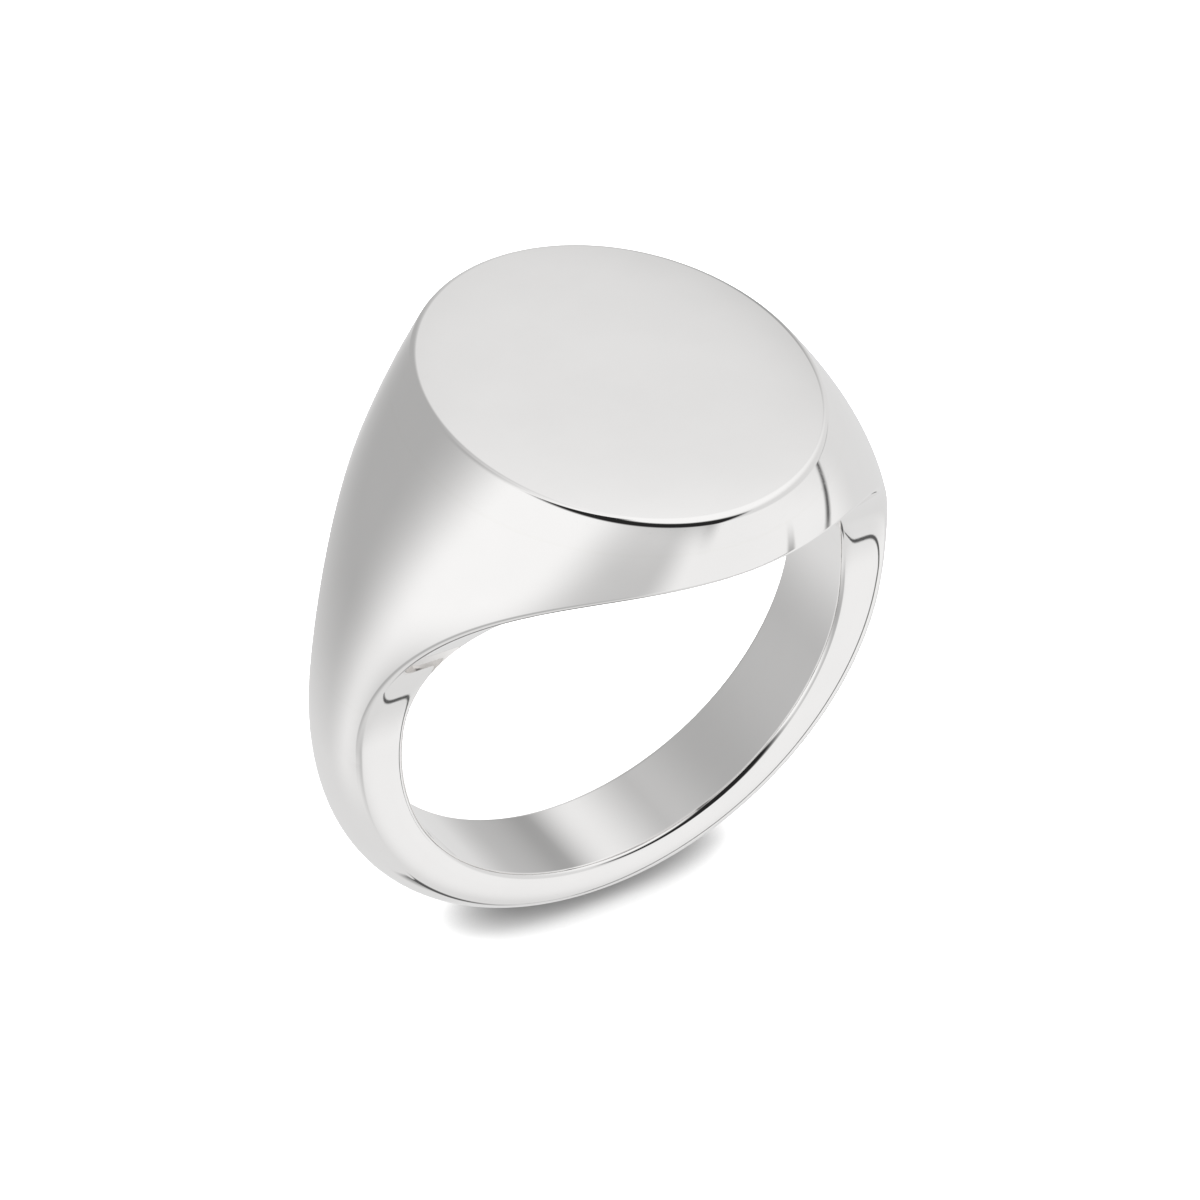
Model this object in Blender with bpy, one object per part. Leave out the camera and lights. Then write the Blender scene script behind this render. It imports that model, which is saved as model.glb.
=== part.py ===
"""Oval signet ring, bench-made from a face plate, a head with shoulders, a shank and solder.

The ring stands on the bottom of its shank at z = 0. The finger hole runs along Y, the table
faces +Z, and the shoulders taper away along +X and -X. Every size is in metres.
"""

import math

import bmesh
import bpy
import numpy as np

MM = 0.001

# Finger hole: 18 mm inside diameter.
HOLE_RADIUS = 9.0 * MM
HOLE_SEGMENTS = 144

# Shank: flat sides, crowned outside, thinnest at the bottom. The corner between a flat side
# and the crown runs round a circle whose centre is raised above the hole's axis.
SHANK_RADIUS = 11.25 * MM
SHANK_HALF_WIDTH = 1.757 * MM
SHANK_EDGE_RADIUS = 10.8 * MM
SHANK_EDGE_RISE = 0.51 * MM
SHANK_STATIONS = 72
SHANK_TOP_STATIONS = 8
CROWN_SEGMENTS = 14

# The hole's axis stands one shank radius above the surface that the ring stands on.
AXIS_Z = SHANK_RADIUS

# Head: every horizontal section is an ellipse. Heights are above the hole's axis.
TOP_HEIGHT = 11.53 * MM
TOP_HALF_LENGTH = 6.75 * MM
WIDEST_HEIGHT = 8.1 * MM
WIDEST_HALF_WIDTH = 8.41 * MM
# At the hole's axis the section's curve is that of the shank's crown.
FOOT_HALF_WIDTH = SHANK_HALF_WIDTH / math.sqrt(
    1.0 - (SHANK_EDGE_RADIUS ** 2 - SHANK_EDGE_RISE ** 2) / SHANK_RADIUS ** 2
)
HEAD_LEVELS = 22
OVAL_SEGMENTS = 144

# Table: a flat oval with a rounded rim, on a plate of its own.
TABLE_HEIGHT = 11.67 * MM
RIM_RADIUS = 0.28 * MM
RIM_SEGMENTS = 6
PLATE_THICKNESS = 1.2 * MM
PLATE_LEVELS = 4

# Side cut: both flanks of the head are hollowed by an elliptical arc that starts where the
# shank's parallel sides end, and that keeps its shape all along X.
CUT_START = 0.51 * MM
CUT_RISE = 8.95 * MM
CUT_REACH = 9.27 * MM
CUT_SEGMENTS = 48
CUTTER_LENGTH = 30.0 * MM
CUTTER_MARGIN = 4.0 * MM

# Solder layers, and the gap that every pair of touching pieces keeps.
SOLDER_THICKNESS = 0.10 * MM
PIECE_GAP = 0.02 * MM
SHOULDER_JOINT_HEIGHT = 2.25 * MM

WHITE_METAL = (0.88, 0.88, 0.87, 1.0)
SOLDER_METAL = (0.82, 0.82, 0.80, 1.0)


def clear_scene():
    for obj in list(bpy.data.objects):
        bpy.data.objects.remove(obj, do_unlink=True)


def polished_metal(name, colour, roughness):
    material = bpy.data.materials.new(name)
    material.use_nodes = True
    shader = material.node_tree.nodes["Principled BSDF"]
    shader.inputs["Base Color"].default_value = colour
    shader.inputs["Metallic"].default_value = 1.0
    shader.inputs["Roughness"].default_value = roughness
    return material


def half_length(height):
    """Half the head's length at a height: a parabola that leaves the shank's circle upright."""
    return SHANK_RADIUS - (SHANK_RADIUS - TOP_HALF_LENGTH) * (height / TOP_HEIGHT) ** 2


def half_width(height):
    """Half the head's width at a height: a parabola from the shank's crown over the widest section."""
    below_widest = (height / WIDEST_HEIGHT - 1.0) ** 2
    return WIDEST_HALF_WIDTH - (WIDEST_HALF_WIDTH - FOOT_HALF_WIDTH) * below_widest


def cut_half_width(height):
    """Half the width that the side cuts leave at a height above the hole's axis."""
    rise = min(max(height - CUT_START, 0.0) / CUT_RISE, 1.0)
    return SHANK_HALF_WIDTH + CUT_REACH * (1.0 - math.sqrt(1.0 - rise ** 2))


def oval(height, inset=0.0, level=None):
    """Points of the head's horizontal section at a height, drawn at another level if asked."""
    a = half_length(height) - inset
    b = half_width(height) - inset
    z = AXIS_Z + (height if level is None else level)
    turns = [2.0 * math.pi * i / OVAL_SEGMENTS for i in range(OVAL_SEGMENTS)]
    return [(a * math.cos(turn), b * math.sin(turn), z) for turn in turns]


def crown_reach(height, y):
    """How far the outside stands from the hole's plane of symmetry, above the axis."""
    return half_length(height) * math.sqrt(1.0 - (y / half_width(height)) ** 2)


def shank_crown_radius(angle, y):
    """Radius of the shank's outside at an angle below the horizontal, from the hole's axis."""
    lift = SHANK_EDGE_RISE * math.sin(angle)
    side = SHANK_EDGE_RISE * math.cos(angle)
    edge = lift + math.sqrt(SHANK_EDGE_RADIUS ** 2 - side ** 2)
    fall = (1.0 - (edge / SHANK_RADIUS) ** 2) * (y / SHANK_HALF_WIDTH) ** 2
    return SHANK_RADIUS * math.sqrt(1.0 - fall)


def crown_steps(width):
    return [width * (2.0 * i / CROWN_SEGMENTS - 1.0) for i in range(CROWN_SEGMENTS + 1)]


def shoulder_section(height, side):
    """Horizontal section of the shank or of its solder above the axis; side is +1 or -1."""
    width = cut_half_width(height)
    inner = math.sqrt(HOLE_RADIUS ** 2 - height ** 2)
    z = AXIS_Z + height
    points = [(side * crown_reach(height, y), y, z) for y in crown_steps(width)]
    points.append((side * inner, width, z))
    points.append((side * inner, -width, z))
    return points


def shank_section(angle):
    """Radial section of the shank at an angle from +X, negative below the horizontal."""
    c = math.cos(angle)
    s = math.sin(angle)
    outline = [(shank_crown_radius(angle, y), y) for y in crown_steps(SHANK_HALF_WIDTH)]
    outline.append((HOLE_RADIUS, SHANK_HALF_WIDTH))
    outline.append((HOLE_RADIUS, -SHANK_HALF_WIDTH))
    return [(r * c, y, AXIS_Z + r * s) for r, y in outline]


def loft(name, sections):
    """A closed solid through rings of points, capped at both ends."""
    bm = bmesh.new()
    rings = []
    for points in sections:
        ring = [bm.verts.new(point) for point in points]
        edges = [bm.edges.new((ring[i - 1], ring[i])) for i in range(len(ring))]
        rings.append((ring, edges))
    for (_, lower), (_, upper) in zip(rings, rings[1:]):
        bmesh.ops.bridge_loops(bm, edges=lower + upper)
    bm.faces.new(rings[0][0])
    bm.faces.new(rings[-1][0])
    bmesh.ops.recalc_face_normals(bm, faces=bm.faces)
    mesh = bpy.data.meshes.new(name)
    bm.to_mesh(mesh)
    bm.free()
    obj = bpy.data.objects.new(name, mesh)
    bpy.context.scene.collection.objects.link(obj)
    return obj


def finish(obj, material):
    obj.data.materials.append(material)
    obj.data.shade_smooth()
    obj.data.set_sharp_from_angle(angle=math.radians(35.0))


def hide_cutter(obj):
    obj.hide_render = True
    obj.display_type = "WIRE"


def cut(obj, cutter):
    modifier = obj.modifiers.new(cutter.name, "BOOLEAN")
    modifier.operation = "DIFFERENCE"
    modifier.object = cutter


def make_hole_cutter():
    bpy.ops.mesh.primitive_cylinder_add(
        vertices=HOLE_SEGMENTS,
        radius=HOLE_RADIUS,
        depth=CUTTER_LENGTH,
        location=(0.0, 0.0, AXIS_Z),
        rotation=(math.pi / 2.0, 0.0, 0.0),
    )
    cutter = bpy.context.object
    cutter.name = "finger_hole_cutter"
    hide_cutter(cutter)
    return cutter


def make_side_cutter(name, side):
    """A bar along X whose inner face is the arc that hollows one flank of the head."""
    far = SHANK_HALF_WIDTH + CUT_REACH + CUTTER_MARGIN
    outline = [(SHANK_HALF_WIDTH, -CUTTER_MARGIN)]
    for i in range(CUT_SEGMENTS + 1):
        angle = math.pi / 2.0 * i / CUT_SEGMENTS
        y = SHANK_HALF_WIDTH + CUT_REACH * (1.0 - math.cos(angle))
        outline.append((y, CUT_START + CUT_RISE * math.sin(angle)))
    outline.append((far, CUT_START + CUT_RISE))
    outline.append((far, -CUTTER_MARGIN))
    ends = []
    for x in (-CUTTER_LENGTH / 2.0, CUTTER_LENGTH / 2.0):
        ends.append([(x, side * y, AXIS_Z + height) for y, height in outline])
    cutter = loft(name, ends)
    hide_cutter(cutter)
    return cutter


def make_head(hole_cutter, side_cutters):
    bottom = SHOULDER_JOINT_HEIGHT + SOLDER_THICKNESS / 2.0 + PIECE_GAP
    top = TABLE_HEIGHT - PLATE_THICKNESS - SOLDER_THICKNESS - PIECE_GAP
    heights = np.linspace(bottom, top, HEAD_LEVELS + 1)
    head = loft("head", [oval(height) for height in heights])
    finish(head, polished_metal("head_metal", WHITE_METAL, 0.06))
    cut(head, hole_cutter)
    for cutter in side_cutters:
        cut(head, cutter)
    return head


def make_face_plate():
    """The oval plate: it follows the head's flare, then rolls over a rounded rim to the table."""
    bottom = TABLE_HEIGHT - PLATE_THICKNESS + PIECE_GAP
    shoulder = TABLE_HEIGHT - RIM_RADIUS
    sections = [oval(height) for height in np.linspace(bottom, shoulder, PLATE_LEVELS + 1)]
    for i in range(1, RIM_SEGMENTS + 1):
        angle = math.pi / 2.0 * i / RIM_SEGMENTS
        inset = RIM_RADIUS * (1.0 - math.cos(angle))
        sections.append(oval(shoulder, inset, shoulder + RIM_RADIUS * math.sin(angle)))
    plate = loft("face_plate", sections)
    finish(plate, polished_metal("face_metal", WHITE_METAL, 0.04))
    return plate


def make_face_solder():
    middle = TABLE_HEIGHT - PLATE_THICKNESS - SOLDER_THICKNESS / 2.0
    half = SOLDER_THICKNESS / 2.0 - PIECE_GAP / 2.0
    solder = loft("face_solder", [oval(middle - half), oval(middle + half)])
    finish(solder, polished_metal("face_solder_metal", SOLDER_METAL, 0.12))
    return solder


def make_shank():
    """The U-shaped band, from the right shoulder joint round the bottom to the left one."""
    top = SHOULDER_JOINT_HEIGHT - SOLDER_THICKNESS / 2.0 - PIECE_GAP
    right = [shoulder_section(h, 1.0) for h in np.linspace(top, 0.0, SHANK_TOP_STATIONS + 1)]
    left = [shoulder_section(h, -1.0) for h in np.linspace(0.0, top, SHANK_TOP_STATIONS + 1)]
    turn = np.linspace(0.0, -math.pi, SHANK_STATIONS + 1)[1:-1]
    shank = loft("shank", right + [shank_section(angle) for angle in turn] + left)
    finish(shank, polished_metal("shank_metal", WHITE_METAL, 0.06))
    return shank


def make_shoulder_solder(name, side):
    low = SHOULDER_JOINT_HEIGHT - SOLDER_THICKNESS / 2.0
    high = SHOULDER_JOINT_HEIGHT + SOLDER_THICKNESS / 2.0
    solder = loft(name, [shoulder_section(low, side), shoulder_section(high, side)])
    finish(solder, polished_metal(name + "_metal", SOLDER_METAL, 0.12))
    return solder


def main():
    clear_scene()
    hole_cutter = make_hole_cutter()
    side_cutters = [make_side_cutter("cutter_front", -1.0), make_side_cutter("cutter_back", 1.0)]
    make_head(hole_cutter, side_cutters)
    make_face_solder()
    make_face_plate()
    make_shank()
    make_shoulder_solder("solder_left", -1.0)
    make_shoulder_solder("solder_right", 1.0)


main()
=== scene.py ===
"""Looks for the oval signet ring: mirror-polished white metal on a pale floor in soft light."""

import math

import bpy
import numpy as np
from mathutils import Matrix, Vector


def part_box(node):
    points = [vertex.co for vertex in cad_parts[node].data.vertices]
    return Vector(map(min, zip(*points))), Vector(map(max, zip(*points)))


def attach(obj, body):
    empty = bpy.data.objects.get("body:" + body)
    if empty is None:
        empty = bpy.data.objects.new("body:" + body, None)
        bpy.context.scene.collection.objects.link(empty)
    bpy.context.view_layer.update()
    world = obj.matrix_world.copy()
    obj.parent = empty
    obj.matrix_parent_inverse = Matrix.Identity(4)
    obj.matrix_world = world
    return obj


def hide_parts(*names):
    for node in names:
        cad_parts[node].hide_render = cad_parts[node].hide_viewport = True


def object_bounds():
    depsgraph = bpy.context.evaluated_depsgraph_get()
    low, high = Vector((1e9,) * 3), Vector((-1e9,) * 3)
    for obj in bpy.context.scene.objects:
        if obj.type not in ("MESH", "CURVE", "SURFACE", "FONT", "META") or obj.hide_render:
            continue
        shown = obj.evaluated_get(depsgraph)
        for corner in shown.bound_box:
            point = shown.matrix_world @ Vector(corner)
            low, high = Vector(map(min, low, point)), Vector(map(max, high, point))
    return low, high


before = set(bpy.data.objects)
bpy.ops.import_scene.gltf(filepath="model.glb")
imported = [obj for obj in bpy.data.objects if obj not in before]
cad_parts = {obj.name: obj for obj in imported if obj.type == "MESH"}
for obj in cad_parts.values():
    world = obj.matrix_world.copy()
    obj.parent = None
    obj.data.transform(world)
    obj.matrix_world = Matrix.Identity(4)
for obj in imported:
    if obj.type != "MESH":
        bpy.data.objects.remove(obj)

MM = 0.001

# ---------------------------------------------------------------------------------------
# Sizes, in millimetres. Heights are above the finger hole's axis.
# ---------------------------------------------------------------------------------------

CAD_LOW, CAD_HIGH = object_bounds()
SHANK_LOW, SHANK_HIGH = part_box("shank")
SHANK_RADIUS = (SHANK_HIGH.x - SHANK_LOW.x) / 2.0 / MM
AXIS_Z = SHANK_LOW.z / MM + SHANK_RADIUS


def seam(lower, upper):
    """Height halfway across the gap between two CAD nodes, one above the other."""
    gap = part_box(lower)[1].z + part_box(upper)[0].z
    return gap / 2.0 / MM - AXIS_Z


TABLE_HEIGHT = CAD_HIGH.z / MM - AXIS_Z
PLATE_SEAM = seam("face_solder", "face_plate")
HEAD_SEAM = seam("head", "face_solder")
HEAD_JOINT = seam("solder_left", "head")
SHANK_JOINT = seam("shank", "solder_left")

# Shank: flat sides and a crowned outside. The corner between them runs round a circle whose
# centre is raised above the hole's axis.
HOLE_RADIUS = 9.0
SHANK_HALF_WIDTH = 1.757
SHANK_EDGE_RADIUS = 10.8
SHANK_EDGE_RISE = 0.51

# Head: every horizontal section is an ellipse. At the hole's axis its curve is that of the
# shank's crown.
TOP_HEIGHT = 11.53
TOP_HALF_LENGTH = 6.75
WIDEST_HEIGHT = 8.1
WIDEST_HALF_WIDTH = 8.41
FOOT_HALF_WIDTH = SHANK_HALF_WIDTH / math.sqrt(
    1.0 - (SHANK_EDGE_RADIUS ** 2 - SHANK_EDGE_RISE ** 2) / SHANK_RADIUS ** 2
)

# Side cut: an elliptical arc that hollows both flanks of the head, the same all along X.
CUT_START = 0.51
CUT_RISE = 8.95
CUT_REACH = 9.27

# Softened edges: the table's rim, the outer edges and the edges of the finger hole.
RIM_RADIUS = 0.30
OUTER_EDGE = 0.24
HOLE_EDGE = 0.18

# The sides' roll-off towards their edges, in the normals only: its reach from the outer edge
# and from the finger hole, and its angle in degrees. It fades out where the side leans over.
EDGE_ROLL = 0.80
LIP_ROLL = 0.50
EDGE_ROLL_ANGLE = 14.0
EDGE_ROLL_POWER = 3
EDGE_ROLL_LEAN = 0.6

# The table's roll-off towards its rim, in the shape too, with its angle in degrees.
TABLE_ROLL_ANGLE = 2.5
TABLE_ROLL_POWER = 5.0

# Mesh density: segments along and across each surface.
CROWN_SEGMENTS = 26
FLANK_SEGMENTS = 240
HEAD_ROWS = 64
PLATE_ROWS = 10
TABLE_ROWS = 16
RIM_SEGMENTS = 14
EDGE_SEGMENTS = 8
SIDE_SEGMENTS = 22
HOLE_SEGMENTS = 14
SHOULDER_STATIONS = 20
BAND_STATIONS = 260
TABLE_SPACING = 0.7

# How finely curves are searched.
SLOPE_STEP = 1e-5
STEEPEST_RISE = 0.9999
LAST_ARC_TURN = 1.55
ARC_SAMPLES = 8001
FLANK_SAMPLES = 4001
BISECTIONS = 60
RIM_ROUNDS = 12
WIDEST_CROWN_TURN = 0.6
NARROWEST_CROWN = 0.5
MERGE_PLACES = 1e6

# ---------------------------------------------------------------------------------------
# The ring's surfaces
# ---------------------------------------------------------------------------------------


def half_length(height):
    """Half the head's length at a height: a parabola that leaves the shank's circle upright."""
    return SHANK_RADIUS - (SHANK_RADIUS - TOP_HALF_LENGTH) * (height / TOP_HEIGHT) ** 2


def half_width(height):
    """Half the head's width at a height: a parabola from the shank's crown over the widest section."""
    below_widest = (height / WIDEST_HEIGHT - 1.0) ** 2
    return WIDEST_HALF_WIDTH - (WIDEST_HALF_WIDTH - FOOT_HALF_WIDTH) * below_widest


def crown_flatness(angle):
    """One over the squared half width of the shank's crown, at an angle round the hole."""
    lift = SHANK_EDGE_RISE * np.sin(angle)
    side = SHANK_EDGE_RISE * np.cos(angle)
    edge = lift + np.sqrt(SHANK_EDGE_RADIUS ** 2 - side ** 2)
    return (1.0 - (edge / SHANK_RADIUS) ** 2) / SHANK_HALF_WIDTH ** 2


def outside(x, y, z, above):
    """Zero on the ring's outside, negative inside it."""
    head = (x / half_length(z)) ** 2 + (y / half_width(z)) ** 2 - 1.0
    flatness = crown_flatness(np.arctan2(z, x))
    band = (x * x + z * z) / SHANK_RADIUS ** 2 + flatness * y * y - 1.0
    return np.where(above, head, band)


def unit(vectors):
    return vectors / np.linalg.norm(vectors, axis=-1, keepdims=True)


def outside_normal(points):
    step = SLOPE_STEP
    x, y, z = points[..., 0], points[..., 1], points[..., 2]
    above = z >= 0.0
    slopes = [
        outside(x + step, y, z, above) - outside(x - step, y, z, above),
        outside(x, y + step, z, above) - outside(x, y - step, z, above),
        outside(x, y, z + step, above) - outside(x, y, z - step, above),
    ]
    return unit(np.stack(slopes, -1))


def side_profile(turn):
    """Y and Z of the hollowed side face at a turn of its arc, and its normal's Y and Z."""
    y = SHANK_HALF_WIDTH + CUT_REACH * (1.0 - np.cos(turn))
    z = CUT_START + CUT_RISE * np.sin(turn)
    normal_y = CUT_RISE * np.cos(turn)
    normal_z = -CUT_REACH * np.sin(turn)
    size = np.hypot(normal_y, normal_z)
    return y, z, normal_y / size, normal_z / size


def side_face(height):
    """Y of the side face at a height, and its normal's Y and Z."""
    rise = np.clip((height - CUT_START) / CUT_RISE, 0.0, STEEPEST_RISE)
    y, _, normal_y, normal_z = side_profile(np.arcsin(rise))
    return y, normal_y, normal_z


def ball_in_side(height, radius):
    """Y of a ball's centre that touches the side face from inside, and the normal there."""
    turns = np.linspace(0.0, LAST_ARC_TURN, ARC_SAMPLES)
    _, z, _, normal_z = side_profile(turns)
    turn = np.interp(height, z - radius * normal_z, turns)
    y, _, normal_y, normal_z = side_profile(turn)
    return y - radius * normal_y, normal_y, normal_z


def bisect(positive_low, low, high):
    """Roots of a function that is positive at low and negative at high, all at once."""
    low = np.array(low, float)
    high = np.array(high, float)
    for _ in range(BISECTIONS):
        middle = (low + high) / 2.0
        keep = positive_low(middle) > 0.0
        low = np.where(keep, middle, low)
        high = np.where(keep, high, middle)
    return (low + high) / 2.0


def turn_between(first, second, shares):
    """Unit vectors turning evenly from one direction to another."""
    cosine = np.clip((first * second).sum(-1, keepdims=True), -1.0, 1.0)
    angle = np.arccos(cosine)[..., None, :]
    shares = shares[:, None]
    first = first[..., None, :]
    second = second[..., None, :]
    mixed = np.sin((1.0 - shares) * angle) * first + np.sin(shares * angle) * second
    return unit(mixed)


def overhang(points):
    """How far an edge ball that touches the outside at these points stands out of the side."""
    centre = points - OUTER_EDGE * outside_normal(points)
    return centre[..., 1] - ball_in_side(centre[..., 2], OUTER_EDGE)[0]


def oval_point(height, turn):
    x = half_length(height) * np.cos(turn)
    y = half_width(height) * np.sin(turn)
    return np.stack(np.broadcast_arrays(x, y, height), -1)


def crown_point(angle, y):
    """A point of the shank's outside below the horizontal, at an angle round the hole."""
    radius = SHANK_RADIUS * np.sqrt(1.0 - crown_flatness(angle) * y * y)
    return np.stack(np.broadcast_arrays(radius * np.cos(angle), y, radius * np.sin(angle)), -1)


def edge_rows(outer, hole_angle):
    """Points and normals from the outside, round its edge, down the side, round into the hole.

    outer holds the points where the edge's rounding starts, one for each station.
    """
    normal = outside_normal(outer)
    centre = outer - OUTER_EDGE * normal
    _, face_y, face_z = ball_in_side(centre[:, 2], OUTER_EDGE)
    face = np.stack([np.zeros_like(face_y), face_y, face_z], -1)
    shares = np.linspace(0.0, 1.0, EDGE_SEGMENTS + 1)
    edge = centre[:, None, :] + OUTER_EDGE * turn_between(normal, face, shares)

    c = np.cos(hole_angle)
    s = np.sin(hole_angle)
    reach = HOLE_RADIUS + HOLE_EDGE
    y, face_y, face_z = ball_in_side(reach * s, HOLE_EDGE)
    ball = np.stack([reach * c, y, reach * s], -1)
    face = np.stack([np.zeros_like(face_y), face_y, face_z], -1)
    inward = np.stack([-c, np.zeros_like(c), -s], -1)
    lip = ball[:, None, :] + HOLE_EDGE * turn_between(face, inward, shares)

    # The side is denser towards its edges, where polishing has rolled it off a little.
    share = (1.0 - np.cos(np.linspace(0.0, math.pi, SIDE_SEGMENTS + 1))) / 2.0
    start = edge[:, -1]
    end = lip[:, 0]
    x = start[:, :1] + (end - start)[:, :1] * share
    z = start[:, 2:] + (end - start)[:, 2:] * share
    y, face_y, face_z = side_face(z)
    side = np.stack([x, y, z], -1)
    flat = np.stack([np.zeros_like(face_y), face_y, face_z], -1)
    from_edge = np.linalg.norm(side - start[:, None], axis=-1, keepdims=True)
    from_lip = np.linalg.norm(side - end[:, None], axis=-1, keepdims=True)
    outward = unit(start - end)[:, None]
    roll = np.maximum(0.0, 1.0 - from_edge / EDGE_ROLL) ** EDGE_ROLL_POWER
    roll = roll - np.maximum(0.0, 1.0 - from_lip / LIP_ROLL) ** EDGE_ROLL_POWER
    roll = roll * np.clip(1.0 + flat[..., 2:] / EDGE_ROLL_LEAN, 0.0, 1.0)
    side_normals = unit(flat + math.tan(math.radians(EDGE_ROLL_ANGLE)) * roll * outward)
    edge_normals = turn_between(normal, side_normals[:, 0], shares)
    lip_normals = turn_between(side_normals[:, -1], inward, shares)
    side = side[:, 1:-1]
    side_normals = side_normals[:, 1:-1]
    points = np.concatenate([edge, side, lip], 1)
    normals = np.concatenate([edge_normals, side_normals, lip_normals], 1)
    return points, normals


def hole_rows(lips, segments):
    """The finger hole's surface from the rounded lips at +Y to the ring's middle plane."""
    shares = np.linspace(1.0, 0.0, segments + 1)
    points = np.repeat(lips[:, None, :], segments + 1, 1)
    points[..., 1] *= shares
    normals = -points
    normals[..., 1] = 0.0
    return points, unit(normals)


# ---------------------------------------------------------------------------------------
# Closed meshes with exact normals
# ---------------------------------------------------------------------------------------


class Shell:
    """Patches of one closed surface, each with the exact normals of the shape it follows."""

    def __init__(self):
        self.points = []
        self.normals = []
        self.faces = []
        self.count = 0

    def add(self, points, normals, faces):
        self.points.append(points.reshape(-1, 3))
        self.normals.append(normals.reshape(-1, 3))
        self.faces.extend([i + self.count for i in face] for face in faces)
        self.count += len(self.points[-1])

    def patch(self, points, normals):
        """A grid of points, turned so that its faces look the way the normals do."""
        rows, columns = points.shape[:2]
        across = points[1:, :-1] - points[:-1, :-1]
        along = points[:-1, 1:] - points[:-1, :-1]
        flip = (np.cross(across, along) * normals[:-1, :-1]).sum() < 0.0
        faces = []
        for i in range(rows - 1):
            for j in range(columns - 1):
                a = i * columns + j
                face = [a, a + columns, a + columns + 1, a + 1]
                faces.append(face[::-1] if flip else face)
        self.add(points, normals, faces)

    def both_sides(self, points, normals):
        """A patch at +Y and its mirror image at -Y."""
        mirror = np.array([1.0, -1.0, 1.0])
        self.patch(points, normals)
        self.patch(points * mirror, normals * mirror)

    def cap(self, half_loop, normal):
        """A flat face inside the outline that starts and ends in the middle plane at +Y."""
        other = half_loop[-2:0:-1] * np.array([1.0, -1.0, 1.0])
        loop = np.concatenate([half_loop, other])
        normals = np.broadcast_to(np.array(normal, float), loop.shape)
        area = np.cross(loop - loop[0], np.roll(loop, -1, 0) - loop[0]).sum(0)
        order = list(range(len(loop)))
        self.add(loop, normals, [order if area @ normals[0] > 0.0 else order[::-1]])

    def make(self, name):
        points = np.concatenate(self.points)
        normals = np.concatenate(self.normals)
        keys = np.round(points * MERGE_PLACES).astype(np.int64)
        _, first, places = np.unique(keys, axis=0, return_index=True, return_inverse=True)
        places = places.reshape(-1)
        faces = []
        corner_normals = []
        for face in self.faces:
            corners = []
            for i in face:
                if places[i] not in [places[j] for j in corners[-1:] + corners[:1]]:
                    corners.append(i)
            if len(corners) > 2:
                faces.append([int(places[i]) for i in corners])
                corner_normals.extend(normals[i] for i in corners)
        placed = (points[first] + [0.0, 0.0, AXIS_Z]) * MM
        mesh = bpy.data.meshes.new(name)
        mesh.from_pydata(placed.tolist(), [], faces)
        mesh.shade_smooth()
        mesh.normals_split_custom_set([tuple(n) for n in corner_normals])
        obj = bpy.data.objects.new(name, mesh)
        bpy.context.scene.collection.objects.link(obj)
        return obj


# ---------------------------------------------------------------------------------------
# The six pieces
# ---------------------------------------------------------------------------------------


def crown_limit(height):
    """Where the crown of a horizontal section ends and its edge's rounding starts, as Y."""
    height = np.asarray(height, float)
    turn = bisect(
        lambda t: -overhang(oval_point(height, t)),
        np.zeros_like(height),
        np.full_like(height, WIDEST_CROWN_TURN),
    )
    return half_width(height) * np.sin(turn)


def shoulder_rows(heights, side):
    """Half sections of the shank above the hole's axis: outside, edges and hole."""
    heights = np.asarray(heights, float)
    shares = np.linspace(0.0, 1.0, CROWN_SEGMENTS + 1)
    y = crown_limit(heights)[:, None] * shares
    turn = np.arcsin(y / half_width(heights)[:, None])
    crown = oval_point(heights[:, None], turn)
    return half_rows(crown, np.arcsin(heights / HOLE_RADIUS), side)


def band_rows(angles):
    """Half sections of the shank below the hole's axis."""
    angles = np.asarray(angles, float)
    limit = bisect(
        lambda y: -overhang(crown_point(angles, y)),
        np.full_like(angles, NARROWEST_CROWN),
        np.full_like(angles, SHANK_HALF_WIDTH),
    )
    shares = np.linspace(0.0, 1.0, CROWN_SEGMENTS + 1)
    crown = crown_point(angles[:, None], limit[:, None] * shares)
    return half_rows(crown, angles, 1.0)


def half_rows(crown, hole_angles, side):
    """Joins the crown, the edges and the hole of each station; side -1 mirrors it in X."""
    points, normals = edge_rows(crown[:, -1], hole_angles)
    inner, inner_normals = hole_rows(points[:, -1], HOLE_SEGMENTS)
    points = np.concatenate([crown[:, :-1], points, inner[:, 1:]], 1)
    normals = np.concatenate([outside_normal(crown[:, :-1]), normals, inner_normals[:, 1:]], 1)
    mirror = np.array([side, 1.0, 1.0])
    return points * mirror, normals * mirror


def head_turns():
    """Turns of the oval from +X to -X, and the height where the head's flank starts at each."""
    end = float(crown_limit(HEAD_JOINT))
    crown = np.arcsin(end * np.linspace(0.0, 1.0, CROWN_SEGMENTS + 1) / half_width(HEAD_JOINT))

    def flank_start(turn):
        top = np.full_like(turn, PLATE_SEAM)
        bottom = np.full_like(turn, HEAD_JOINT)
        return bisect(lambda z: overhang(oval_point(z, turn)), bottom, top)

    turn = np.linspace(crown[-1], math.pi / 2.0, FLANK_SAMPLES)
    spots = oval_point(flank_start(turn), turn)
    steps = np.linalg.norm(np.diff(spots, axis=0), axis=1)
    length = np.concatenate([[0.0], np.cumsum(steps)])
    even = np.linspace(0.0, length[-1], FLANK_SEGMENTS // 2 + 1)
    quarter = np.interp(even, length, turn)
    flank = np.concatenate([quarter, math.pi - quarter[-2::-1]])
    starts = flank_start(flank)
    starts[0] = HEAD_JOINT
    starts[-1] = HEAD_JOINT
    turns = np.concatenate([crown[:-1], flank, math.pi - crown[-2::-1]])
    level = np.full(CROWN_SEGMENTS, HEAD_JOINT)
    return turns, np.concatenate([level, starts, level]), flank, starts


TURNS, STARTS, FLANK, FLANK_STARTS = head_turns()


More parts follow.
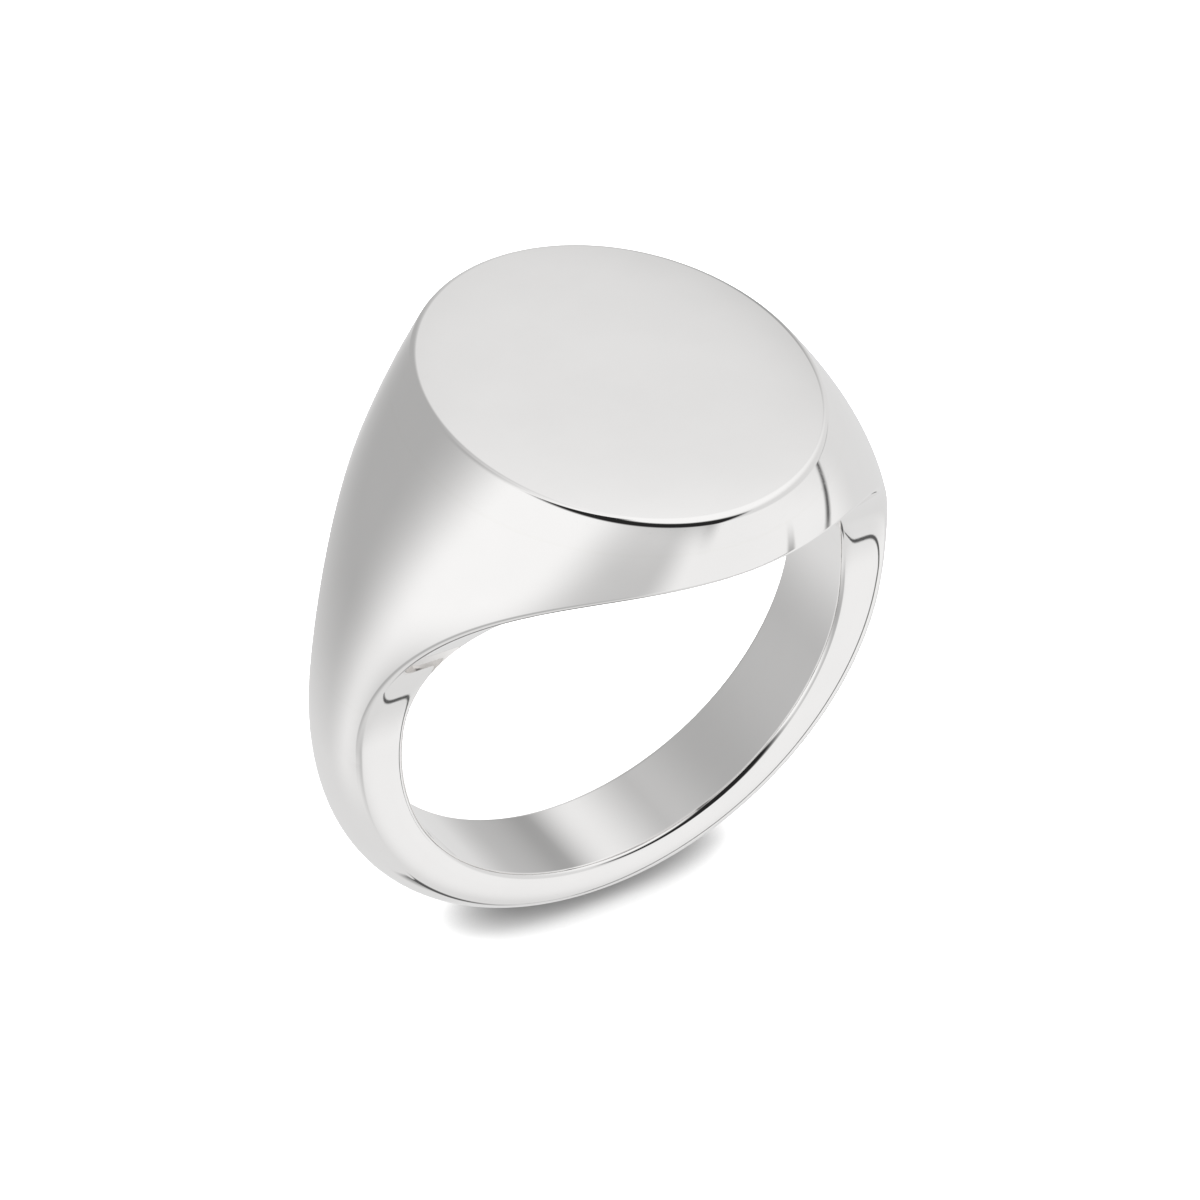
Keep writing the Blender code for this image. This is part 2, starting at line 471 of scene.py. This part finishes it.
def make_head():
    shell = Shell()
    shares = np.linspace(0.0, 1.0, HEAD_ROWS + 1)[:, None]
    heights = STARTS + (HEAD_SEAM - STARTS) * shares
    points = oval_point(heights, TURNS)
    shell.both_sides(points, outside_normal(points))
    shell.cap(points[-1], (0.0, 0.0, 1.0))

    outer = points[0, CROWN_SEGMENTS:-CROWN_SEGMENTS]
    polar = np.arctan2(outer[:, 2], outer[:, 0])
    first = math.asin(HEAD_JOINT / HOLE_RADIUS)
    lead = first - polar[0]
    fade = np.cos(np.pi * np.linspace(0.0, 1.0, len(outer)))
    angles = polar + lead * np.sign(fade) * fade ** 2
    edge, edge_normals = edge_rows(outer, angles)
    shell.both_sides(edge, edge_normals)
    hole, hole_normals = hole_rows(edge[:, -1], 3 * HOLE_SEGMENTS)
    shell.both_sides(hole, hole_normals)

    for end, crown in ((0, points[0, :CROWN_SEGMENTS]), (-1, points[0, :-CROWN_SEGMENTS - 1:-1])):
        half_loop = np.concatenate([crown, edge[end], hole[end, 1:]])
        shell.cap(half_loop, (0.0, 0.0, -1.0))
    return shell.make("ring_head")


def make_band(name, bottom, top):
    """A closed oval band between two heights, such as the solder under the face plate."""
    shell = Shell()
    points = oval_point(np.linspace(bottom, top, 3)[:, None], TURNS)
    shell.both_sides(points, outside_normal(points))
    shell.cap(points[0], (0.0, 0.0, -1.0))
    shell.cap(points[-1], (0.0, 0.0, 1.0))
    return shell.make(name)


def table_surface(edge, lean):
    """Points and normals of the table, flat but for a slight roll-off near its rim."""
    shares = np.linspace(1.0, 0.0, TABLE_ROWS + 1)[:, None] ** TABLE_SPACING
    reach = np.hypot(edge[:, 0], edge[:, 1])
    drop = lean * reach / TABLE_ROLL_POWER * shares ** TABLE_ROLL_POWER
    points = edge * shares[..., None]
    points[..., 2] = TABLE_HEIGHT - drop
    slope = lean * shares ** (TABLE_ROLL_POWER - 1.0)
    outward = unit(edge * (1.0, 1.0, 0.0))
    normals = outward * slope[..., None] + (0.0, 0.0, 1.0)
    return points, unit(normals)


def make_face_plate():
    """The oval plate with its rounded rim and its table."""
    shell = Shell()
    lean = math.radians(TABLE_ROLL_ANGLE)
    shoulder = np.full(TURNS.shape, TABLE_HEIGHT - RIM_RADIUS)
    for _ in range(RIM_ROUNDS):
        # The rim's arc has one radius all round, so the wall's slant sets where it starts.
        start = oval_point(shoulder, TURNS)
        side = outside_normal(start)
        top = unit(unit(start * (1.0, 1.0, 0.0)) * lean + (0.0, 0.0, 1.0))
        reach = np.hypot(start[:, 0], start[:, 1])
        sag = lean * reach / TABLE_ROLL_POWER
        shoulder = TABLE_HEIGHT - sag - RIM_RADIUS * (top[:, 2] - side[:, 2])
    rows = np.linspace(0.0, 1.0, PLATE_ROWS + 1)[:, None]
    points = oval_point(PLATE_SEAM + (shoulder - PLATE_SEAM) * rows, TURNS)
    normals = outside_normal(points)
    shell.both_sides(points, normals)
    shell.cap(points[0], (0.0, 0.0, -1.0))

    start = points[-1]
    side = normals[-1]
    rim_normals = turn_between(side, top, np.linspace(0.0, 1.0, RIM_SEGMENTS + 1))
    rim = start[:, None] + RIM_RADIUS * (rim_normals - side[:, None])
    table, table_normals = table_surface(rim[:, -1], lean)
    rim[:, -1] = table[0]
    shell.both_sides(rim, rim_normals)
    shell.both_sides(table, table_normals)
    return shell.make("ring_face_plate")


def make_shank():
    shell = Shell()
    right, right_normals = shoulder_rows(np.linspace(SHANK_JOINT, 0.0, SHOULDER_STATIONS + 1), 1.0)
    left, left_normals = shoulder_rows(np.linspace(0.0, SHANK_JOINT, SHOULDER_STATIONS + 1), -1.0)
    turn = np.linspace(0.0, -math.pi, BAND_STATIONS + 1)[1:-1]
    band, band_normals = band_rows(turn)
    points = np.concatenate([right, band, left])
    normals = np.concatenate([right_normals, band_normals, left_normals])
    shell.both_sides(points, normals)
    shell.cap(points[0], (0.0, 0.0, 1.0))
    shell.cap(points[-1], (0.0, 0.0, 1.0))
    return shell.make("ring_shank")


def make_shoulder_solder(name, side):
    shell = Shell()
    points, normals = shoulder_rows(np.linspace(SHANK_JOINT, HEAD_JOINT, 3), side)
    shell.both_sides(points, normals)
    shell.cap(points[0], (0.0, 0.0, -1.0))
    shell.cap(points[-1], (0.0, 0.0, 1.0))
    return shell.make(name)


# ---------------------------------------------------------------------------------------
# Material
# ---------------------------------------------------------------------------------------


def math_node(tree, operation, *values):
    """A Math node on numbers or sockets; returns its result."""
    node = tree.nodes.new("ShaderNodeMath")
    node.operation = operation
    for i, value in enumerate(values):
        if isinstance(value, bpy.types.NodeSocket):
            tree.links.new(value, node.inputs[i])
        else:
            node.inputs[i].default_value = value
    return node.outputs[0]


def map_range(tree, value, low, high, to_low, to_high):
    """Takes a socket's value softly from one range to another."""
    node = tree.nodes.new("ShaderNodeMapRange")
    node.interpolation_type = "SMOOTHSTEP"
    tree.links.new(value, node.inputs["Value"])
    node.inputs["From Min"].default_value = low
    node.inputs["From Max"].default_value = high
    node.inputs["To Min"].default_value = to_low
    node.inputs["To Max"].default_value = to_high
    return node.outputs["Result"]


def grain_space(tree, layout):
    """Places in millimetres: along the polishing strokes, across them and in depth."""
    place = tree.nodes.new("ShaderNodeTexCoord")
    split = tree.nodes.new("ShaderNodeSeparateXYZ")
    tree.links.new(place.outputs["Object"], split.inputs[0])
    x = math_node(tree, "DIVIDE", split.outputs[0], MM)
    y = math_node(tree, "DIVIDE", split.outputs[1], MM)
    z = math_node(tree, "SUBTRACT", math_node(tree, "DIVIDE", split.outputs[2], MM), AXIS_Z)
    if layout == "round_hole":
        # A polishing wheel runs round the band. The turn is measured from the top, so that
        # the strokes' start and end meet at the bottom of the band.
        turn = math_node(tree, "ARCTAN2", x, z)
        along = math_node(tree, "MULTIPLY", turn, SHANK_RADIUS)
        depth = math_node(tree, "SQRT", math_node(
            tree, "ADD", math_node(tree, "MULTIPLY", x, x), math_node(tree, "MULTIPLY", z, z)
        ))
        return along, y, depth, x, y, z
    return x, y, z, x, y, z


def stroke_noise(tree, places, along_scale, across_scale, turn, detail):
    """Noise drawn out into fine parallel strokes, turned a little from the main direction."""
    c = math.cos(math.radians(turn))
    s = math.sin(math.radians(turn))
    along, across, depth = places
    u = math_node(tree, "MULTIPLY_ADD", along, c, math_node(tree, "MULTIPLY", across, s))
    v = math_node(tree, "MULTIPLY_ADD", across, c, math_node(tree, "MULTIPLY", along, -s))
    join = tree.nodes.new("ShaderNodeCombineXYZ")
    tree.links.new(math_node(tree, "MULTIPLY", u, along_scale), join.inputs[0])
    tree.links.new(math_node(tree, "MULTIPLY", v, across_scale), join.inputs[1])
    tree.links.new(math_node(tree, "MULTIPLY", depth, across_scale), join.inputs[2])
    noise = tree.nodes.new("ShaderNodeTexNoise")
    noise.inputs["Scale"].default_value = 1.0
    noise.inputs["Detail"].default_value = detail
    tree.links.new(join.outputs[0], noise.inputs["Vector"])
    return noise.outputs["Fac"]


def cloud_noise(tree, x, y, z, size, detail, offset):
    """Soft patches of about the given size in millimetres."""
    join = tree.nodes.new("ShaderNodeCombineXYZ")
    for i, value in enumerate((x, y, z)):
        tree.links.new(math_node(tree, "ADD", value, offset), join.inputs[i])
    noise = tree.nodes.new("ShaderNodeTexNoise")
    noise.inputs["Scale"].default_value = 1.0 / size
    noise.inputs["Detail"].default_value = detail
    tree.links.new(join.outputs[0], noise.inputs["Vector"])
    return noise.outputs["Fac"]


HAZE_TINT = 0.962
GRAIN_DEPTH = 0.00009


def polished_metal(name, colour, layout, stroke_turn, roughness, worn_places):
    """Polished silver: fine strokes, handling haze, hairline scratches and worn edges."""
    material = bpy.data.materials.new(name)
    material.use_nodes = True
    tree = material.node_tree
    shader = tree.nodes["Principled BSDF"]
    shader.inputs["Metallic"].default_value = 1.0
    along, across, depth, x, y, z = grain_space(tree, layout)
    places = along, across, depth

    strokes = stroke_noise(tree, places, 0.7, 34.0, stroke_turn, 3.0)
    cross_strokes = stroke_noise(tree, places, 1.1, 27.0, stroke_turn + 24.0, 2.0)
    haze = cloud_noise(tree, x, y, z, 3.2, 3.0, 11.0)
    patches = cloud_noise(tree, x, y, z, 1.1, 2.0, 47.0)
    worn = worn_places(tree, x, y, z)

    # Hairlines are the rare peaks of two long stroke patterns, kept to a few patches.
    first = stroke_noise(tree, places, 0.35, 17.0, stroke_turn + 9.0, 1.0)
    second = stroke_noise(tree, places, 0.45, 21.0, stroke_turn - 31.0, 1.0)
    hairs = math_node(
        tree, "MAXIMUM",
        map_range(tree, first, 0.70, 0.76, 0.0, 1.0),
        map_range(tree, second, 0.71, 0.77, 0.0, 1.0),
    )
    reach = math_node(tree, "MAXIMUM", map_range(tree, patches, 0.45, 0.65, 0.0, 0.6), worn)
    hairs = math_node(tree, "MULTIPLY", hairs, reach)

    rough = map_range(tree, strokes, 0.3, 0.7, roughness, roughness + 0.016)
    rough = math_node(tree, "ADD", rough, map_range(tree, cross_strokes, 0.35, 0.75, 0.0, 0.008))
    rough = math_node(tree, "ADD", rough, map_range(tree, haze, 0.48, 0.72, 0.0, 0.022))
    rough = math_node(tree, "MULTIPLY_ADD", hairs, 0.10, rough)
    rough = math_node(tree, "MULTIPLY_ADD", worn, 0.02, rough)
    tree.links.new(rough, shader.inputs["Roughness"])

    tone = math_node(tree, "MULTIPLY_ADD", hairs, 0.5, map_range(tree, haze, 0.3, 0.7, 0.0, 0.5))
    blend = tree.nodes.new("ShaderNodeMix")
    blend.data_type = "RGBA"
    tree.links.new(tone, blend.inputs["Factor"])
    blend.inputs["A"].default_value = (*colour, 1.0)
    blend.inputs["B"].default_value = (*(HAZE_TINT * c for c in colour), 1.0)
    tree.links.new(blend.outputs["Result"], shader.inputs["Base Color"])

    height = math_node(tree, "MULTIPLY_ADD", strokes, 0.5, math_node(
        tree, "MULTIPLY_ADD", cross_strokes, 0.3, math_node(tree, "MULTIPLY", hairs, -1.4)
    ))
    bump = tree.nodes.new("ShaderNodeBump")
    bump.inputs["Strength"].default_value = 1.0
    bump.inputs["Distance"].default_value = GRAIN_DEPTH * MM
    tree.links.new(height, bump.inputs["Height"])
    tree.links.new(bump.outputs["Normal"], shader.inputs["Normal"])
    return material


def worn_rim(tree, x, y, z):
    """The table's rim takes the knocks."""
    a = half_length(TABLE_HEIGHT)
    b = half_width(TABLE_HEIGHT)
    across = math_node(tree, "POWER", math_node(tree, "DIVIDE", x, float(a)), 2.0)
    up = math_node(tree, "POWER", math_node(tree, "DIVIDE", y, float(b)), 2.0)
    return map_range(tree, math_node(tree, "ADD", across, up), 0.84, 1.0, 0.0, 1.0)


def worn_foot(tree, x, y, z):
    """The bottom of the band, which rubs on tables and on the next finger."""
    return map_range(tree, z, -SHANK_RADIUS, -0.55 * SHANK_RADIUS, 1.0, 0.1)


def worn_lip(tree, x, y, z):
    """The head's lower edge and the finger hole, smoothed by the finger."""
    reach = math_node(tree, "SQRT", math_node(
        tree, "ADD", math_node(tree, "MULTIPLY", x, x), math_node(tree, "MULTIPLY", z, z)
    ))
    return map_range(tree, reach, HOLE_RADIUS, HOLE_RADIUS + 1.1, 0.8, 0.05)


def dress(obj, node, material):
    obj.data.materials.append(material)
    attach(obj, "root")
    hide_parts(node)


# Silver's own colour, and solder's, which is a little duller.
SILVER = (0.935, 0.926, 0.918)
SOLDER = (0.93, 0.921, 0.91)
FACE = polished_metal("face_polish", SILVER, "straight", 14.0, 0.022, worn_rim)
HEAD = polished_metal("head_polish", SILVER, "straight", -6.0, 0.024, worn_lip)
SHANK = polished_metal("shank_polish", SILVER, "round_hole", 4.0, 0.026, worn_foot)
JOINT = polished_metal("solder_polish", SOLDER, "straight", 38.0, 0.030, worn_lip)
dress(make_head(), "head", HEAD)
dress(make_band("ring_face_solder", HEAD_SEAM, PLATE_SEAM), "face_solder", JOINT)
dress(make_face_plate(), "face_plate", FACE)
dress(make_shank(), "shank", SHANK)
dress(make_shoulder_solder("ring_solder_left", -1.0), "solder_left", JOINT)
dress(make_shoulder_solder("ring_solder_right", 1.0), "solder_right", JOINT)

# ---------------------------------------------------------------------------------------
# Floor, light and camera
# ---------------------------------------------------------------------------------------

# A light tent with soft cards and two thin frames, drawn one over the other: azimuth and
# elevation of the middle, half width, half height, softness of the edges and tilt in degrees,
# and brightness.
TENT = 0.75
BACKDROP = 1.05
END_FADE = 0.35
WHITE = (1.0, 1.0, 1.0, 1.0)
CARDS = [
    ("ceiling", 0, 90, 180, 52, 12, 0, 1.0),
    ("key", -80, 0, 35, 50, 20, 0, 1.0),
    ("left_card", -160, 15, 40, 45, 20, 0, 0.45),
    ("low_card", -50, -30, 50, 15, 15, 0, 0.45),
    ("front_card", -25, -15, 25, 10, 18, -40, 0.6),
    ("fill", 40, -30, 50, 20, 10, -10, 0.92),
    ("back_card", 135, 15, 5, 20, 12, 0, 0.2),
    ("camera_card", -35, 40, 65, 25, 5, -30, 0.02),
    ("floor_card", 90, -85, 90, 10, 5, 0, 0.1),
    ("right_frame", 90, -15, 1, 20, 1, -40, 0.1),
    ("low_frame", 57, -50, 2, 20, 1, 0, 0.1),
]


def soft_edge(tree, value, half, softness):
    """One inside the half width, falling softly to zero outside it."""
    away = math_node(tree, "ABSOLUTE", value)
    return map_range(tree, away, half - softness, half + softness, 1.0, 0.0)


def make_studio():
    """The light tent and its cards, with a plain white backdrop behind them for the camera."""
    world = bpy.data.worlds.new("studio")
    world.use_nodes = True
    tree = world.node_tree
    tree.nodes.clear()
    place = tree.nodes.new("ShaderNodeTexCoord")
    split = tree.nodes.new("ShaderNodeSeparateXYZ")
    tree.links.new(place.outputs["Generated"], split.inputs[0])
    x, y, z = split.outputs
    turn = math_node(tree, "ARCTAN2", x, math_node(tree, "MULTIPLY", y, -1.0))
    azimuth = math_node(tree, "DEGREES", turn)
    elevation = math_node(tree, "DEGREES", math_node(tree, "ARCSINE", z))
    glow = TENT
    for _, middle, height, half_w, half_h, softness, tilt, brightness in CARDS:
        c = math.cos(math.radians(tilt))
        s = math.sin(math.radians(tilt))
        across = math_node(
            tree, "WRAP", math_node(tree, "SUBTRACT", azimuth, middle), 180.0, -180.0
        )
        up = math_node(tree, "SUBTRACT", elevation, height)
        u = math_node(tree, "MULTIPLY_ADD", across, c, math_node(tree, "MULTIPLY", up, s))
        v = math_node(tree, "MULTIPLY_ADD", up, c, math_node(tree, "MULTIPLY", across, -s))
        # Thin frames fade out towards their ends.
        end_softness = max(softness, END_FADE * half_h)
        mask = math_node(
            tree, "MULTIPLY",
            soft_edge(tree, u, half_w, softness), soft_edge(tree, v, half_h, end_softness),
        )
        mix = tree.nodes.new("ShaderNodeMix")
        tree.links.new(mask, mix.inputs["Factor"])
        if isinstance(glow, float):
            mix.inputs["A"].default_value = glow
        else:
            tree.links.new(glow, mix.inputs["A"])
        mix.inputs["B"].default_value = brightness
        glow = mix.outputs["Result"]
    tent = tree.nodes.new("ShaderNodeBackground")
    tent.inputs["Color"].default_value = WHITE
    tree.links.new(glow, tent.inputs["Strength"])
    backdrop = tree.nodes.new("ShaderNodeBackground")
    backdrop.inputs["Color"].default_value = WHITE
    backdrop.inputs["Strength"].default_value = BACKDROP
    rays = tree.nodes.new("ShaderNodeLightPath")
    choice = tree.nodes.new("ShaderNodeMixShader")
    output = tree.nodes.new("ShaderNodeOutputWorld")
    tree.links.new(rays.outputs["Is Camera Ray"], choice.inputs["Fac"])
    tree.links.new(tent.outputs[0], choice.inputs[1])
    tree.links.new(backdrop.outputs[0], choice.inputs[2])
    tree.links.new(choice.outputs[0], output.inputs["Surface"])
    bpy.context.scene.world = world


FLOOR_SIZE = 6.0
FLOOR_WHITE = 0.93
# The floor's darkest colour under the ring: a painted contact shadow, not wear or dirt.
PAINTED_CONTACT_SHADOW = 0.42
CONTACT_REACH = 1.8
CONTACT_SAMPLES = 16


def make_floor():
    """A plain white floor with a painted contact shadow: its colour darkens where the ring all but
    touches it.
    """
    bpy.ops.mesh.primitive_plane_add(size=FLOOR_SIZE, location=(0.0, 0.0, 0.0))
    floor = bpy.context.object
    floor.name = "floor"
    material = bpy.data.materials.new("pale_floor_painted_shadow")
    material.use_nodes = True
    tree = material.node_tree
    shader = tree.nodes["Principled BSDF"]
    shader.inputs["Roughness"].default_value = 1.0
    shader.inputs["Specular IOR Level"].default_value = 0.0
    contact = tree.nodes.new("ShaderNodeAmbientOcclusion")
    contact.samples = CONTACT_SAMPLES
    contact.inputs["Distance"].default_value = CONTACT_REACH * MM
    # Painted contact shadow: the floor's base colour darkens where the ring occludes it.
    painted_shadow = map_range(tree, contact.outputs["AO"], 0.2, 1.0, PAINTED_CONTACT_SHADOW, FLOOR_WHITE)
    tree.links.new(painted_shadow, shader.inputs["Base Color"])
    floor.data.materials.append(material)
    floor.visible_glossy = False


def add_floor_light():
    """A broad soft light from above that brightens the floor."""
    data = bpy.data.lights.new("overhead", "AREA")
    data.shape = "DISK"
    data.size = 2.4
    data.energy = 48.0
    light = bpy.data.objects.new("overhead", data)
    light.location = (-0.15, -0.1, 0.9)
    light.rotation_euler = Vector(light.location).to_track_quat("Z", "Y").to_euler()
    light.visible_glossy = False
    light.visible_camera = False
    bpy.context.scene.collection.objects.link(light)


make_studio()
make_floor()
add_floor_light()

CAMERA_AZIMUTH = -34.42
CAMERA_ELEVATION = 39.64
CAMERA_ROLL = 4.16
CAMERA_DISTANCE = 228.4
CAMERA_LENS = 195.0
CAMERA_RIGHT = 0.006
CAMERA_UP = 1.389


def add_camera():
    a, e, r = (math.radians(v) for v in (CAMERA_AZIMUTH, CAMERA_ELEVATION, CAMERA_ROLL))
    back = Vector((math.sin(a) * math.cos(e), -math.cos(a) * math.cos(e), math.sin(e)))
    level = Vector((math.cos(a), math.sin(a), 0.0))
    rise = back.cross(level)
    right = math.cos(r) * level + math.sin(r) * rise
    up = -math.sin(r) * level + math.cos(r) * rise
    data = bpy.data.cameras.new("camera")
    data.sensor_width = 36.0
    data.lens = CAMERA_LENS
    data.clip_start = 0.01
    data.clip_end = 20.0
    camera = bpy.data.objects.new("camera", data)
    bpy.context.scene.collection.objects.link(camera)
    centre = Vector((0.0, 0.0, AXIS_Z * MM))
    place = centre + (back * CAMERA_DISTANCE + right * CAMERA_RIGHT + up * CAMERA_UP) * MM
    turn = Matrix((right, up, back)).transposed()
    camera.matrix_world = Matrix.Translation(place) @ turn.to_4x4()
    bpy.context.scene.camera = camera


add_camera()
bpy.context.scene.view_settings.view_transform = "Standard"
